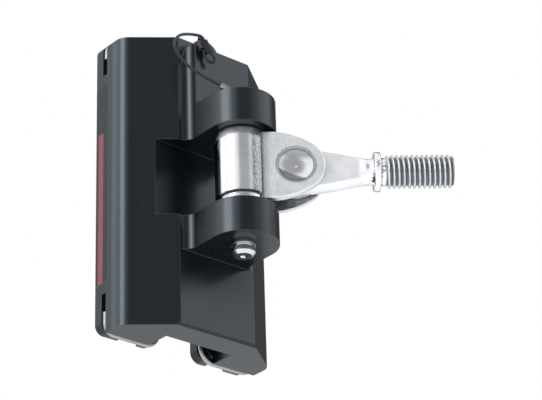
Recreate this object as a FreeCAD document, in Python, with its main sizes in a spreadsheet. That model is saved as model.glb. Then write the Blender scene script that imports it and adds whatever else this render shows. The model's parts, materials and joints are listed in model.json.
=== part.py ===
import FreeCAD, Part
import math
import os
from types import SimpleNamespace

import Sketcher
from FreeCAD import Placement, Rotation, Vector

# Batten car for a mast track, in millimetres.
# The origin is on the face towards the mast, in the middle of the width and of the length.
# +X points away from the mast, +Z up the track and +Y across the car.

# Driving dimensions
SIZES = {
    # Extruded car
    "car_length": 95.0,
    "car_width": 55.0,
    "car_depth": 22.6,
    "face_land": 0.25,
    "bevel_depth": 10.4,
    "bevel_corner_radius": 5.0,
    "face_chamfer": 0.75,
    "track_slot_width": 24.0,
    "track_slot_depth": 13.5,
    # Ears, the milled pocket between them and the lanyard tab
    "pocket_height": 24.8,
    "pocket_depth": 4.3,
    "ear_height": 11.0,
    "ear_radius": 10.6,
    "ear_fillet": 2.9,
    "pin_offset": 12.1,
    "tab_thickness": 4.5,
    "tab_radius": 5.25,
    "tab_center_across": 6.8,
    "tab_drop": 6.2,
    "tab_lean": 15.4,
    "tab_hole_radius": 1.2,
    "tab_hole_across": 7.6,
    "tab_hole_drop": 4.8,
    "tab_hole_setback": 1.9,
    "tab_mark_radius": 0.35,
    "tab_mark_depth": 0.3,
    # Ball circuits
    "ball_radius": 3.175,
    "ball_clearance": 0.1,
    "ball_gap": 0.02,
    "ball_plane": 4.6,
    "ball_bite": 0.1,
    "ball_return_wall": 5.6,
    "turn_drop": 10.9,
    # End caps; the caps, wires, balls and labels sit a little up the track in the aluminium
    "insert_shift": 1.4,
    "cap_overrun": 0.2,
    "cap_depth": 5.2,
    "cap_height": 14.8,
    "cap_inner_side": 7.4,
    "cap_outer_radius": 2.8,
    "cap_inner_radius": 3.2,
    "cap_slot_width": 2.0,
    "cap_slot_gap": 0.25,
    "cap_slot_reach": 11.3,
    "cap_notch_across": 16.25,
    "cap_notch_width": 6.9,
    "cap_notch_height": 1.7,
    "cap_notch_depth": 1.6,
    "peg_radius": 1.2,
    "peg_length": 3.8,
    "peg_fit": 0.05,
    # Ball guide wires
    "wire_radius": 0.75,
    "wire_plane": 4.2,
    "wire_outer_bend": 3.2,
    "wire_inner_bend": 4.6,
    "wire_ball_gap": 0.1,
    "wire_sink": 0.1,
    "wire_tail": 5.5,
    "wire_hang": 0.9,
    # Side labels with their stripes
    "label_thickness": 0.3,
    "label_width": 5.6,
    "label_setback": 0.2,
    "stripe_thickness": 0.15,
    "stripe_width": 2.1,
    "stripe_drop": 16.1,
    "stripe_offset": 0.6,
    # Toggle
    "toggle_angle": 52.0,
    "barrel_radius": 7.9,
    "barrel_shoulder_height": 2.7,
    "barrel_shoulder_inset": 0.6,
    "barrel_bottom_chamfer": 0.9,
    "cheek_thickness": 2.2,
    "cheek_half_height": 11.05,
    "cheek_flank_radius": 23.4,
    "cheek_flank_start": 7.5,
    "cheek_reach": 24.4,
    "cheek_edge_radius": 0.5,
    "jaw_gap": 6.8,
    "jaw_wall": 3.8,
    "stud_pin_reach": 15.8,
    "stud_rise": 0.2,
    "running_gap": 0.1,
    # Bushes and washers
    "bush_wall": 1.05,
    "bush_length": 8.0,
    "bush_fit": 0.02,
    "washer_radius": 7.4,
    "washer_relief": 0.4,
    "upper_washer_thickness": 0.3,
    "lower_washer_thickness": 0.95,
    "lower_spacer_thickness": 1.65,
    # Quick pin
    "pin_radius": 3.5,
    "pin_fit": 0.05,
    "pin_head_radius": 5.8,
    "pin_head_height": 1.7,
    "pin_head_chamfer": 0.5,
    "pin_head_gap": 0.05,
    "pin_tail_gap": 0.3,
    "pin_groove_radius": 2.6,
    "pin_groove_height": 0.9,
    "pin_knob_height": 2.3,
    "pin_knob_chamfer": 0.9,
    "pin_dimple_radius": 1.0,
    "pin_dimple_depth": 0.6,
    "detent_radius": 0.8,
    "detent_fit": 0.05,
    "detent_proud": 0.35,
    "detent_drop": 1.05,
    "spring_length": 2.6,
    "spring_wire_radius": 0.14,
    "spring_turns": 4.0,
    "spring_steps": 6.0,
    # Stud pin and stud
    "stud_pin_radius": 3.9,
    "stud_pin_fit": 0.05,
    "stud_pin_head_radius": 6.0,
    "stud_pin_head_height": 1.0,
    "stud_pin_sink": 0.45,
    "stud_pin_dish_radius": 5.0,
    "stud_pin_dish_depth": 0.8,
    "stud_eye_gap": 0.2,
    "blade_gap": 0.3,
    "blade_shoulder_reach": 9.0,
    "blade_shoulder_radius": 6.05,
    "blade_flat_reach": 17.8,
    "blade_runout_radius": 6.0,
    "shank_radius": 3.9,
    "shank_start": 21.0,
    "collar_start": 23.05,
    "collar_width": 1.9,
    "collar_radius": 5.9,
    "collar_edge_break": 0.25,
    "relief_radius": 4.15,
    "relief_width": 1.45,
    "thread_radius": 4.95,
    "thread_length": 20.2,
    "thread_chamfer": 0.8,
    # Lanyard
    "lanyard_diameter": 0.9,
    "lanyard_fit": 0.02,
    "sleeve_radius": 1.15,
    "sleeve_length": 4.13,
    "strand_offset": 0.48,
    "eye_inner_radius": 3.6,
    "eye_outer_radius": 5.2,
    "eye_thickness": 0.9,
    "eye_angle": -60.0,
    "eye_lug_width": 1.8,
    "crimp_start": 7.6,
    "crimp_radius": 0.95,
    "crimp_length": 3.4,
    "crimp_turn": -69.0,
    "crimp_tilt": 35.0,
}

doc = FreeCAD.newDocument("batten_car")
sheet = doc.addObject("Spreadsheet::Sheet", "sizes")
for row, (name, number) in enumerate(SIZES.items(), start=1):
    sheet.set(f"A{row}", name)
    sheet.set(f"B{row}", str(number))
    sheet.setAlias(f"B{row}", name)
doc.recompute()


class Size:
    """A number of the sheet, or one worked out from it, with the formula that binds it."""

    def __init__(self, formula, value):
        self.formula = formula
        self.value = value

    def __add__(self, other):
        other = sized(other)
        return Size(f"({self.formula} + {other.formula})", self.value + other.value)

    def __sub__(self, other):
        other = sized(other)
        return Size(f"({self.formula} - {other.formula})", self.value - other.value)

    def __mul__(self, other):
        other = sized(other)
        return Size(f"({self.formula} * {other.formula})", self.value * other.value)

    def __truediv__(self, other):
        other = sized(other)
        return Size(f"({self.formula} / {other.formula})", self.value / other.value)

    def __radd__(self, other):
        return sized(other) + self

    def __rsub__(self, other):
        return sized(other) - self

    def __rmul__(self, other):
        return sized(other) * self

    def __neg__(self):
        return self * -1


def sized(number):
    """Return a plain number as a Size."""
    if isinstance(number, Size):
        return number
    return Size(f"({number})", float(number))


def cosine(angle):
    """Cosine of an angle in degrees."""
    return Size(f"cos({angle.formula})", math.cos(math.radians(angle.value)))


def sine(angle):
    """Sine of an angle in degrees."""
    return Size(f"sin({angle.formula})", math.sin(math.radians(angle.value)))


def root(number):
    """Square root."""
    return Size(f"sqrt({number.formula})", math.sqrt(number.value))


def bind(thing, prop, size):
    """Bind one property to a formula."""
    thing.setExpression(prop, sized(size).formula)


s = SimpleNamespace(**{name: Size(f"sizes.{name}", float(getattr(sheet, name))) for name in SIZES})


# Levels and places that several pieces share

CAR_TOP = s.car_length / 2
CAR_SIDE = s.car_width / 2
SLOT_SIDE = s.track_slot_width / 2
FACE_SIDE = s.ear_radius + s.ear_fillet + s.face_land
POCKET_TOP = s.pocket_height / 2
EAR_TOP = POCKET_TOP + s.ear_height
PIN_X = s.car_depth + s.pin_offset
TAB_FRONT = s.car_depth + s.tab_thickness
TAB_Z = CAR_TOP - s.tab_drop
TAB_HOLE_Z = CAR_TOP - s.tab_hole_drop
PIN_HOLE = s.pin_radius + s.pin_fit

RACEWAY = s.ball_radius + s.ball_clearance
LOAD_RUN = SLOT_SIDE + s.ball_bite
RETURN_RUN = CAR_SIDE - s.ball_return_wall
TURN_ACROSS = (LOAD_RUN + RETURN_RUN) / 2
TURN_RADIUS = (RETURN_RUN - LOAD_RUN) / 2

# Heights from the middle of the caps, which lies insert_shift above the middle of the aluminium
CAP_TOP = CAR_TOP + s.cap_overrun
CAP_START = CAP_TOP - s.cap_height
TURN_Z = CAP_TOP - s.turn_drop
LABEL_TOP = CAP_START - s.label_setback
LABEL_SIDE = CAR_SIDE - s.label_thickness

WIRE_TOP = CAP_TOP - s.wire_sink
WIRE_OUTER = CAR_SIDE - s.wire_radius
WIRE_INNER = LOAD_RUN - s.ball_radius - s.wire_ball_gap - s.wire_radius

SPACER_TOP = -POCKET_TOP + s.lower_spacer_thickness
BARREL_BOTTOM = SPACER_TOP + s.lower_washer_thickness + s.running_gap
BARREL_TOP = POCKET_TOP - s.upper_washer_thickness - s.running_gap
BORE_RADIUS = PIN_HOLE + s.bush_wall
CHEEK_SIDE = s.jaw_gap / 2 + s.cheek_thickness
JAW_FLOOR = BORE_RADIUS + s.jaw_wall

BLADE_SIDE = s.jaw_gap / 2 - s.blade_gap
EYE_RADIUS = s.stud_pin_reach - JAW_FLOOR - s.stud_eye_gap
COLLAR_END = s.collar_start + s.collar_width
THREAD_START = COLLAR_END + s.relief_width
STUD_END = THREAD_START + s.thread_length

PIN_HEAD_BOTTOM = EAR_TOP + s.eye_thickness + 2 * s.pin_head_gap
KNOB_TOP = -EAR_TOP - s.pin_tail_gap - s.pin_groove_height
KNOB_BOTTOM = KNOB_TOP - s.pin_knob_height
DETENT_Z = KNOB_TOP - s.detent_drop
DETENT_BORE = s.detent_radius + s.detent_fit
DETENT_X = -(s.pin_radius + s.detent_proud - s.detent_radius)

# Cut depth that always leaves the piece
CLEAR = 2 * s.car_width


# Drawing helpers

def origin_plane(body, role):
    """One of the body's own origin planes."""
    return next(item for item in body.Origin.OriginFeatures if item.Role == role)


def draw(body, name, role, lift=None, rise=None):
    """Lay a sketch on an origin plane of the body, lifted along its normal and moved along its Y."""
    drawing = body.newObject("Sketcher::SketchObject", name)
    drawing.AttachmentSupport = [(origin_plane(body, role), "")]
    drawing.MapMode = "FlatFace"
    if lift is not None:
        bind(drawing, "AttachmentOffset.Base.z", lift)
    if rise is not None:
        bind(drawing, "AttachmentOffset.Base.y", rise)
    return drawing


def fix(drawing, kind, geometry, position, size):
    """Give one point of the sketch its distance from the sketch's origin."""
    size = sized(size)
    index = drawing.addConstraint(Sketcher.Constraint(kind, -1, 1, geometry, position, size.value))
    drawing.setExpression(f"Constraints[{index}]", size.formula)


def fix_point(drawing, geometry, position, point):
    """Give one point of the sketch both its distances."""
    fix(drawing, "DistanceX", geometry, position, point[0])
    fix(drawing, "DistanceY", geometry, position, point[1])


def flat(point):
    """A sketch point as a vector."""
    return Vector(sized(point[0]).value, sized(point[1]).value, 0)


def arc_between(start, end, center, turn):
    """An arc from start to end, anticlockwise where turn is positive."""
    first, last = (start, end) if turn > 0 else (end, start)
    circle = Part.Circle(center, Vector(0, 0, 1), (start - center).Length)
    low = math.atan2(first.y - center.y, first.x - center.x)
    high = math.atan2(last.y - center.y, last.x - center.x)
    return Part.ArcOfCircle(circle, low, high if high > low else high + 2 * math.pi)


def outline(drawing, corners, arcs=None, closed=True):
    """Draw lines through the corners; arcs gives centre and turn for the side after a corner."""
    arcs = arcs or {}
    base = drawing.GeometryCount
    count = len(corners)
    sides = count if closed else count - 1
    ends = []
    for index in range(sides):
        start = flat(corners[index])
        end = flat(corners[(index + 1) % count])
        if index in arcs:
            center, turn = arcs[index]
            drawing.addGeometry(arc_between(start, end, flat(center), turn))
            ends.append((1, 2) if turn > 0 else (2, 1))
        else:
            drawing.addGeometry(Part.LineSegment(start, end))
            ends.append((1, 2))
    for index in range(sides):
        fix_point(drawing, base + index, ends[index][0], corners[index])
        if closed or index < sides - 1:
            following = (index + 1) % sides
            drawing.addConstraint(Sketcher.Constraint(
                "Coincident", base + index, ends[index][1], base + following, ends[following][0]))
        else:
            fix_point(drawing, base + index, ends[index][1], corners[index + 1])
    for index, (center, turn) in arcs.items():
        chord = flat(corners[(index + 1) % count]) - flat(corners[index])
        if abs(chord.y) >= abs(chord.x):
            fix(drawing, "DistanceX", base + index, 3, center[0])
        else:
            fix(drawing, "DistanceY", base + index, 3, center[1])


def rectangle(drawing, low, high):
    """Draw a rectangle between two corners."""
    outline(drawing, [low, (high[0], low[1]), high, (low[0], high[1])])


def ring(drawing, center, radius):
    """Draw a circle."""
    radius = sized(radius)
    index = drawing.addGeometry(Part.Circle(flat(center), Vector(0, 0, 1), radius.value))
    fix_point(drawing, index, 3, center)
    rule = drawing.addConstraint(Sketcher.Constraint("Radius", index, radius.value))
    drawing.setExpression(f"Constraints[{rule}]", radius.formula)


def feature(body, kind, name, **settings):
    """Add a feature to the body, binding each setting that is a Size."""
    new = body.newObject(f"PartDesign::{kind}", name)
    for prop, setting in settings.items():
        if isinstance(setting, Size):
            bind(new, prop, setting)
        else:
            setattr(new, prop, setting)
    doc.recompute()
    return new


def edges_where(thing, test):
    """Names of the edges whose middle point and length pass a test."""
    names = []
    for index, edge in enumerate(thing.Shape.Edges, start=1):
        middle = edge.valueAt((edge.FirstParameter + edge.LastParameter) / 2)
        if test(middle, edge.BoundBox):
            names.append(f"Edge{index}")
    return names


def near(one, other, slack=0.02):
    """Whether two lengths agree."""
    return abs(sized(one).value - sized(other).value) < slack


def new_body(label):
    """Start a body with its label."""
    body = doc.addObject("PartDesign::Body", label)
    body.Label = label
    return body


def place(thing, x=0, y=0, z=0, angle=None):
    """Place a piece, with an optional turn about the vertical."""
    thing.Placement = Placement(Vector(), Rotation(Vector(0, 0, 1), 1))
    bind(thing, "Placement.Base.x", x)
    bind(thing, "Placement.Base.y", y)
    bind(thing, "Placement.Base.z", z)
    bind(thing, "Placement.Rotation.Angle", 0 if angle is None else angle)


# Car body: an extrusion with a fin, milled to two ears and a lanyard tab

def make_car_body():
    body = new_body("car_body")

    section = draw(body, "section", "XY_Plane")
    outline(section, [
        (0, -CAR_SIDE), (s.car_depth - s.bevel_depth, -CAR_SIDE), (s.car_depth, -FACE_SIDE),
        (s.car_depth, FACE_SIDE), (s.car_depth - s.bevel_depth, CAR_SIDE), (0, CAR_SIDE),
        (0, SLOT_SIDE), (s.track_slot_depth, SLOT_SIDE),
        (s.track_slot_depth, -SLOT_SIDE), (0, -SLOT_SIDE)])
    block = feature(body, "Pad", "extrusion", Profile=section, Length=s.car_length, Midplane=True)
    corners = edges_where(block, lambda mid, box: near(mid.x, s.car_depth - s.bevel_depth))
    feature(body, "Fillet", "bevel_corners", Base=(block, corners), Radius=s.bevel_corner_radius)

    root_x = s.car_depth + s.ear_fillet
    fin = draw(body, "fin_section", "XY_Plane")
    outline(fin, [
        (s.car_depth, -s.ear_radius - s.ear_fillet), (root_x, -s.ear_radius),
        (PIN_X, -s.ear_radius), (PIN_X, s.ear_radius),
        (root_x, s.ear_radius), (s.car_depth, s.ear_radius + s.ear_fillet)],
        {0: ((root_x, -s.ear_radius - s.ear_fillet), -1),
         2: ((PIN_X, 0), 1),
         4: ((root_x, s.ear_radius + s.ear_fillet), -1)})
    feature(body, "Pad", "ears", Profile=fin, Length=2 * EAR_TOP, Midplane=True)

    pocket = draw(body, "pocket_outline", "XZ_Plane")
    rectangle(pocket, (s.car_depth - s.pocket_depth, -POCKET_TOP), (PIN_X + CLEAR, POCKET_TOP))
    feature(body, "Pocket", "pocket", Profile=pocket, Type="ThroughAll", Midplane=True)

    make_tab(body, root_x)

    hole = draw(body, "pin_holes", "XY_Plane")
    ring(hole, (PIN_X, 0), PIN_HOLE)
    feature(body, "Pocket", "pin_bore", Profile=hole, Type="ThroughAll", Midplane=True)

    lower_edge = edges_where(body.Tip, lambda mid, box: near(mid.x, s.car_depth)
                             and near(mid.z, -CAR_TOP) and near(mid.y, 0))
    feature(body, "Chamfer", "face_edge", Base=(body.Tip, lower_edge), Size=s.face_chamfer)

    make_cap_seats(body)
    make_raceways(body)

    recess = draw(body, "label_recess", "XY_Plane", s.insert_shift)
    for side in (-1, 1):
        rectangle(recess, (s.label_setback, side * LABEL_SIDE),
                  (s.label_setback + s.label_width, side * (CAR_SIDE + s.label_thickness)))
    feature(body, "Pocket", "label_seats", Profile=recess, Length=2 * LABEL_TOP, Midplane=True)
    place(body)
    return body


def make_tab(body, root_x):
    """Leave the tab for the lanyard beside the upper ear, with its humped top and its holes."""
    across = -s.tab_center_across
    right = across + s.tab_radius
    top = TAB_Z + s.tab_radius
    tab = draw(body, "tab_section", "XY_Plane", EAR_TOP - s.ear_height / 2)
    outline(tab, [
        (s.car_depth, -s.ear_radius - s.ear_fillet), (root_x, -s.ear_radius),
        (TAB_FRONT, -s.ear_radius), (TAB_FRONT, right), (s.car_depth, right)],
        {0: ((root_x, -s.ear_radius - s.ear_fillet), -1)})
    feature(body, "Pad", "tab", Profile=tab, Length=top - EAR_TOP + s.ear_height / 2)

    # The leaning left edge touches the hump's circle at this point
    touch_y = across - s.tab_radius * cosine(s.tab_lean)
    touch_z = TAB_Z + s.tab_radius * sine(s.tab_lean)
    drop = 2 * s.tab_radius
    foot_y = touch_y - drop * sine(s.tab_lean)
    foot_z = touch_z - drop * cosine(s.tab_lean)
    waste = draw(body, "tab_waste", "YZ_Plane", s.car_depth)
    outline(waste, [
        (touch_y, touch_z), (foot_y, foot_z), (foot_y, top + s.tab_radius),
        (right, top + s.tab_radius), (right, TAB_Z)],
        {4: ((across, TAB_Z), 1)})
    feature(body, "Pocket", "tab_outline", Profile=waste, Length=CLEAR, Reversed=True)

    front = draw(body, "tab_front_hole", "YZ_Plane", TAB_FRONT)
    ring(front, (-s.tab_hole_across, TAB_HOLE_Z), s.tab_hole_radius)
    feature(body, "Pocket", "lanyard_front_hole", Profile=front,
            Length=s.tab_hole_setback + s.tab_hole_radius)
    upper = draw(body, "tab_top_hole", "XY_Plane", top)
    ring(upper, (TAB_FRONT - s.tab_hole_setback, -s.tab_hole_across), s.tab_hole_radius)
    feature(body, "Pocket", "lanyard_top_hole", Profile=upper, Length=top - TAB_HOLE_Z)

    mark = draw(body, "tab_mark", "YZ_Plane", TAB_FRONT)
    ring(mark, (-s.ear_radius + 2 * s.tab_mark_radius, EAR_TOP + 2 * s.tab_mark_radius), s.tab_mark_radius)
    feature(body, "Pocket", "center_mark", Profile=mark, Length=s.tab_mark_depth)


def make_cap_seats(body):
    """Cut both legs back at their ends for the end caps, with the holes for the caps' pegs."""
    seats = draw(body, "cap_seats", "YZ_Plane", rise=s.insert_shift)
    pegs = draw(body, "peg_holes", "YZ_Plane", rise=s.insert_shift)
    for side in (-1, 1):
        for end in (-1, 1):
            rectangle(seats, (side * s.cap_inner_side, end * CAP_START),
                      (side * (CAR_SIDE + s.cap_depth), end * (CAP_TOP + s.cap_depth)))
            ring(pegs, (side * TURN_ACROSS, end * TURN_Z), s.peg_radius + s.peg_fit)
    feature(body, "Pocket", "cap_cut", Profile=seats, Length=s.cap_depth, Reversed=True)
    feature(body, "Pocket", "peg_bores", Profile=pegs,
            Length=s.cap_depth + s.peg_length + s.peg_fit, Reversed=True)


def ball_loop(body, name, side, rise=None):
    """Draw the path of the ball centres in one leg."""
    path = draw(body, name, "YZ_Plane", s.ball_plane, rise)
    inner = side * LOAD_RUN
    outer = side * RETURN_RUN
    outline(path, [(inner, -TURN_Z), (inner, TURN_Z), (outer, TURN_Z), (outer, -TURN_Z)],
            {1: ((side * TURN_ACROSS, TURN_Z), -side), 3: ((side * TURN_ACROSS, -TURN_Z), -side)})
    return path


def make_raceways(body):
    """Run the channel of one ball circuit through each leg."""
    for side, hand in ((-1, "left"), (1, "right")):
        path = ball_loop(body, f"{hand}_ball_path", side, s.insert_shift)
        channel = draw(body, f"{hand}_channel", "XY_Plane")
        ring(channel, (s.ball_plane, side * LOAD_RUN), RACEWAY)
        feature(body, "SubtractivePipe", f"{hand}_raceway", Profile=channel, Spine=(path, []))


# End caps: plastic turn-arounds that close the ball circuits

def make_end_cap(name, side, end):
    body = new_body(name)
    inner = side * s.cap_inner_side
    outer = side * CAR_SIDE
    low = end * CAP_START
    top = end * CAP_TOP
    big = s.cap_outer_radius
    small = s.cap_inner_radius

    face = draw(body, f"{name}_outline", "YZ_Plane")
    outline(face, [
        (inner, low), (outer, low), (outer, top - big * end), (outer - big * side, top),
        (inner + small * side, top), (inner, top - small * end)],
        {2: ((outer - big * side, top - big * end), side * end),
         4: ((inner + small * side, top - small * end), side * end)})
    feature(body, "Pad", f"{name}_plate", Profile=face, Length=s.cap_depth)

    # Groove round the edge that the guide wire lies in
    room = s.wire_radius + s.cap_slot_gap
    floor = top - (s.wire_sink + room) * end
    outer_floor = outer - (s.wire_radius + room) * side
    inner_floor = (WIRE_INNER + room) * side
    outer_center = (WIRE_OUTER - s.wire_outer_bend) * side
    inner_center = (WIRE_INNER + s.wire_inner_bend) * side
    outer_turn = end * (WIRE_TOP - s.wire_outer_bend)
    inner_turn = end * (WIRE_TOP - s.wire_inner_bend)
    waste = s.cap_depth
    groove = draw(body, f"{name}_groove_outline", "YZ_Plane", s.cap_depth - s.cap_slot_width)
    reach = top - s.cap_slot_reach * end
    outline(groove, [
        (outer + waste * side, reach), (outer + waste * side, top + waste * end),
        (inner - waste * side, top + waste * end), (inner - waste * side, low - waste * end),
        (inner_floor, low - waste * end), (inner_floor, inner_turn), (inner_center, floor),
        (outer_center, floor), (outer_floor, outer_turn), (outer_floor, reach)],
        {5: ((inner_center, inner_turn), -side * end), 7: ((outer_center, outer_turn), -side * end)})
    feature(body, "Pocket", f"{name}_groove", Profile=groove, Length=waste, Reversed=True)

    notch = draw(body, f"{name}_notch_outline", "YZ_Plane")
    middle = side * s.cap_notch_across
    rectangle(notch, (middle - s.cap_notch_width / 2, top - s.cap_notch_height * end),
              (middle + s.cap_notch_width / 2, top + waste * end))
    feature(body, "Pocket", f"{name}_notch", Profile=notch, Length=s.cap_notch_depth, Reversed=True)

    path = ball_loop(body, f"{name}_ball_path", side)
    channel = draw(body, f"{name}_channel", "XY_Plane")
    ring(channel, (s.ball_plane, side * LOAD_RUN), RACEWAY)
    feature(body, "SubtractivePipe", f"{name}_raceway", Profile=channel, Spine=(path, []))

    peg = draw(body, f"{name}_peg_outline", "YZ_Plane", s.ball_plane)
    ring(peg, (side * TURN_ACROSS, end * TURN_Z), s.peg_radius)
    feature(body, "Pad", f"{name}_peg", Profile=peg, Length=s.cap_depth - s.ball_plane + s.peg_length)
    place(body, 0, 0, s.insert_shift)
    return body


# Ball guide wires: a bent wire round each leg that keeps the balls in off the track

def make_guide_wire(name, side):
    body = new_body(name)
    outer = side * WIRE_OUTER
    inner = side * WIRE_INNER
    top = WIRE_TOP
    low = top + s.wire_hang
    tail = top - s.wire_tail
    big = s.wire_outer_bend
    small = s.wire_inner_bend
    path = draw(body, f"{name}_path", "YZ_Plane", s.wire_plane)
    outline(path, [
        (outer, tail), (outer, top - big), (outer - side * big, top),
        (inner + side * small, top), (inner, top - small),
        (inner, -low + small), (inner + side * small, -low),
        (outer - side * big, -low), (outer, -low + big), (outer, -tail)],
        {1: ((outer - side * big, top - big), side),
         3: ((inner + side * small, top - small), side),
         5: ((inner + side * small, -low + small), side),
         7: ((outer - side * big, -low + big), side)},
        closed=False)
    section = draw(body, f"{name}_section", "XY_Plane", tail)
    ring(section, (s.wire_plane, outer), s.wire_radius)
    feature(body, "AdditivePipe", f"{name}_wire", Profile=section, Spine=(path, []))
    place(body, 0, 0, s.insert_shift)
    return body


# Balls: one circuit in each leg, as many as the loop takes

def loop_point(distance, side):
    """The place on a ball loop at a distance along it."""
    straight = 2 * TURN_Z.value
    turn = math.pi * TURN_RADIUS.value
    distance = distance % (2 * (straight + turn))
    half, rest = divmod(distance, straight + turn)
    if rest < straight:
        along = rest - straight / 2
        across = -TURN_RADIUS.value
    else:
        angle = (rest - straight) / TURN_RADIUS.value
        along = straight / 2 + TURN_RADIUS.value * math.sin(angle)
        across = -TURN_RADIUS.value * math.cos(angle)
    if half:
        along = -along
        across = -across
    return Vector(s.ball_plane.value, side * (TURN_ACROSS.value + across), along)


def make_balls(name, side):
    spacing = 2 * s.ball_radius.value + s.ball_gap.value
    loop_length = 2 * (2 * TURN_Z.value + math.pi * TURN_RADIUS.value)
    # A chord across the turn is shorter than the arc beside it
    chord_arc = 2 * TURN_RADIUS.value * math.asin(spacing / (2 * TURN_RADIUS.value))
    count = int(loop_length // chord_arc)
    balls = []
    for index in range(count):
        ball = doc.addObject("Part::Sphere", f"{name}_{index + 1}")
        bind(ball, "Radius", s.ball_radius)
        ball.Placement = Placement(loop_point((index + 0.5) * loop_length / count, side), Rotation())
        balls.append(ball)
    group = doc.addObject("Part::Compound", name)
    group.Label = name
    group.Links = balls
    place(group, 0, 0, s.insert_shift)
    return group


# Plain shapes made of cylinders and boxes

def cylinder(name, radius, height):
    """A cylinder standing on the origin."""
    thing = doc.addObject("Part::Cylinder", name)
    bind(thing, "Radius", radius)
    bind(thing, "Height", height)
    return thing


def box(name, size, corner):
    """A box from its lowest corner."""
    thing = doc.addObject("Part::Box", name)
    for prop, length in zip(("Length", "Width", "Height"), size):
        bind(thing, prop, length)
    place(thing, *corner)
    return thing


def cut(label, base, tool):
    """Take one shape out of another."""
    thing = doc.addObject("Part::Cut", label)
    thing.Label = label
    thing.Base = base
    thing.Tool = tool
    return thing


def make_tube(label, outer, inner, height, bottom):
    """A washer or a sleeve on the pin's axis."""
    solid = cylinder(f"{label}_outside", outer, height)
    bore = cylinder(f"{label}_inside", inner, height)
    tube = cut(label, solid, bore)
    place(tube, PIN_X, 0, bottom)
    return tube


# Wires: a round section along straight runs and tangent arcs

def tube_path(points):
    """Straight runs joined by tangent arcs, with the radius of each arc."""
    points = [Vector(*point) for point in points]
    edges = []
    radii = []
    start = points[0]
    for before, corner, after in zip(points, points[1:], points[2:]):
        inward = before - corner
        outward = after - corner
        shorter = min(inward.Length, outward.Length)
        inward.normalize()
        outward.normalize()
        half_turn = (math.pi - inward.getAngle(outward)) / 2
        reach = 0.45 * shorter
        radius = reach / math.tan(half_turn)
        entry = corner + inward * reach
        leave = corner + outward * reach
        bisector = inward + outward
        bisector.normalize()
        middle = corner + bisector * (radius / math.cos(half_turn) - radius)
        edges.append(Part.LineSegment(start, entry).toShape())
        edges.append(Part.Arc(entry, middle, leave).toShape())
        radii.append(radius)
        start = leave
    edges.append(Part.LineSegment(start, points[-1]).toShape())
    return Part.Wire(edges), radii


def make_wire(label, points, radius):
    """A round wire along a route, with the length of its path and the radius of each arc."""
    path, radii = tube_path(points)
    first = path.Edges[0]
    section = Part.Wire(Part.makeCircle(radius, Vector(*points[0]), first.tangentAt(first.FirstParameter)))
    wire = doc.addObject("Part::Feature", label)
    wire.Label = label
    wire.Shape = path.makePipeShell([section], True, False)
    wire.Placement = Placement()
    return wire, path.Length, radii


# Side labels: a strip let into each side wall, with a stripe let into the strip

def make_side_label(hand, side):
    low = s.insert_shift - LABEL_TOP
    strip_low = LABEL_SIDE if side > 0 else -CAR_SIDE
    stripe_low = CAR_SIDE - s.stripe_thickness if side > 0 else -CAR_SIDE
    stripe_size = (s.stripe_width, s.stripe_thickness, 2 * LABEL_TOP - s.stripe_drop)
    stripe_corner = (s.label_setback + s.stripe_offset, stripe_low, low)
    strip = box(f"{hand}_strip", (s.label_width, s.label_thickness, 2 * LABEL_TOP),
                (s.label_setback, strip_low, low))
    groove = box(f"{hand}_stripe_groove", stripe_size, stripe_corner)
    label = cut(f"{hand}_side_label", strip, groove)
    place(label)
    stripe = box(f"{hand}_red_stripe", stripe_size, stripe_corner)
    stripe.Label = f"{hand}_red_stripe"
    return [label, stripe]


# Toggle: a cast barrel on the pin with two cheeks for the stud

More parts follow.
